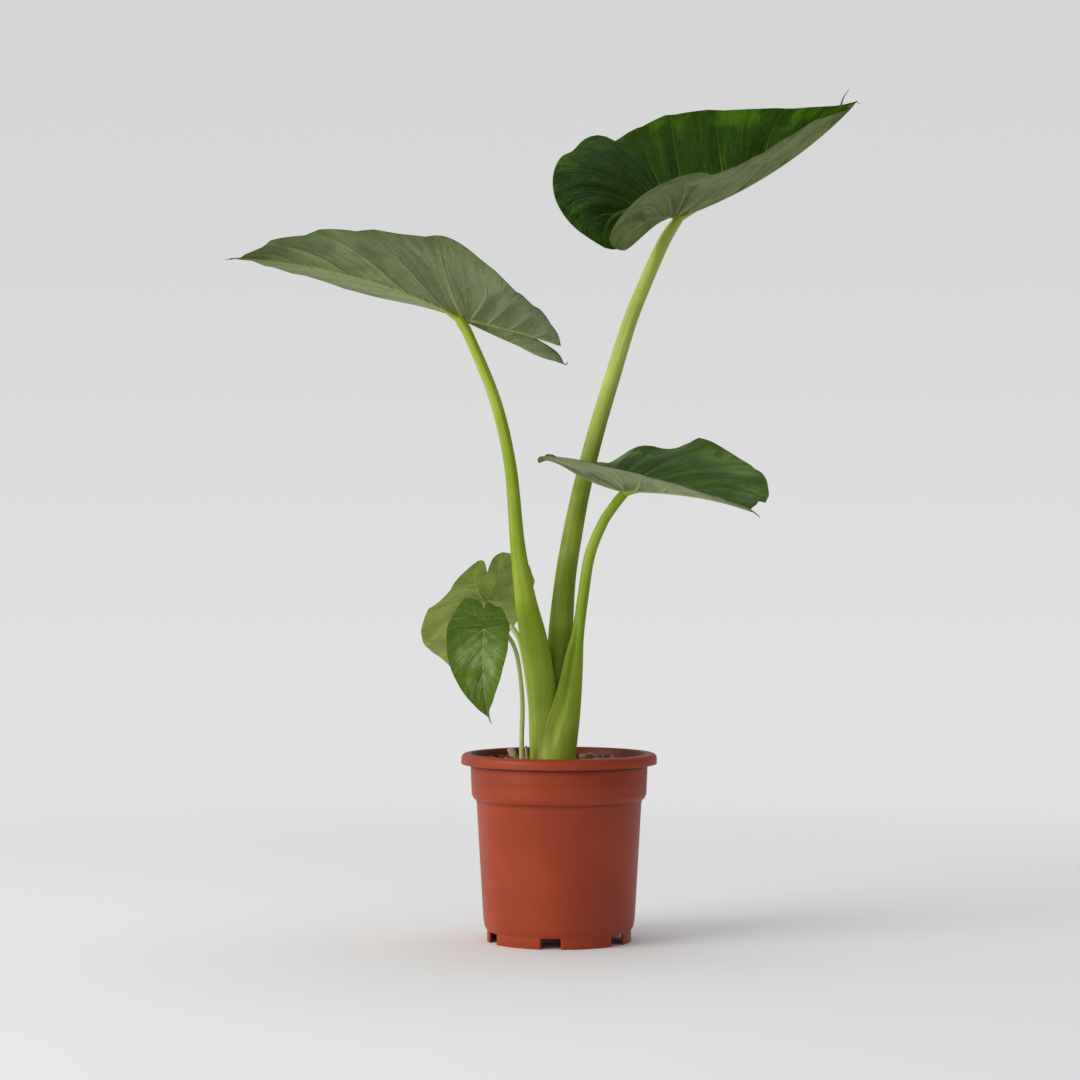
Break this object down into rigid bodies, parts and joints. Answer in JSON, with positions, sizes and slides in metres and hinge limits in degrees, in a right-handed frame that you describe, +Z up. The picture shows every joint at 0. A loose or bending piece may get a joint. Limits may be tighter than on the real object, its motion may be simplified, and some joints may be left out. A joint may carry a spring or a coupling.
{
  "type": "potted alocasia plant",
  "caption": "Young alocasia with arrow-shaped, veined leaves on sheathing stalks, growing in bark soil in a round plastic nursery pot that stands on its foot ring.",
  "frame": {"origin": "on the floor, under the pot's axis, close to the centre of the overall box", "axes": "+Z up along the pot's axis; the pictured front looks along -Y; +X to the right of that view"},
  "size_m": [0.6099, 0.3395, 0.8328],
  "materials": {
    "pot_plastic": "satin, finely textured moulded polypropylene",
    "bark_soil": "loose bark and fibre",
    "corm_tissue": "rough",
    "leaf_stalk": "smooth, waxy",
    "young_stalk": "smooth, waxy",
    "leaf_blade": "glossy above, matte grey-green below",
    "young_blade": "glossy above, matte below",
    "dry_stalk": "dry, papery"
  },
  "bodies": {
    "root": {"pot": "pot_plastic", "soil": "bark_soil", "corm": "corm_tissue", "petiole_left": "leaf_stalk", "petiole_tall": "leaf_stalk", "petiole_right": "leaf_stalk", "petiole_small_front": "young_stalk", "petiole_small_back": "young_stalk", "blade_left": "leaf_blade", "blade_tall": "leaf_blade", "blade_right": "leaf_blade", "blade_small_front": "young_blade", "blade_small_back": "young_blade", "stub_left": "dry_stalk", "stub_mid": "dry_stalk"}
  },
  "joints": []
}
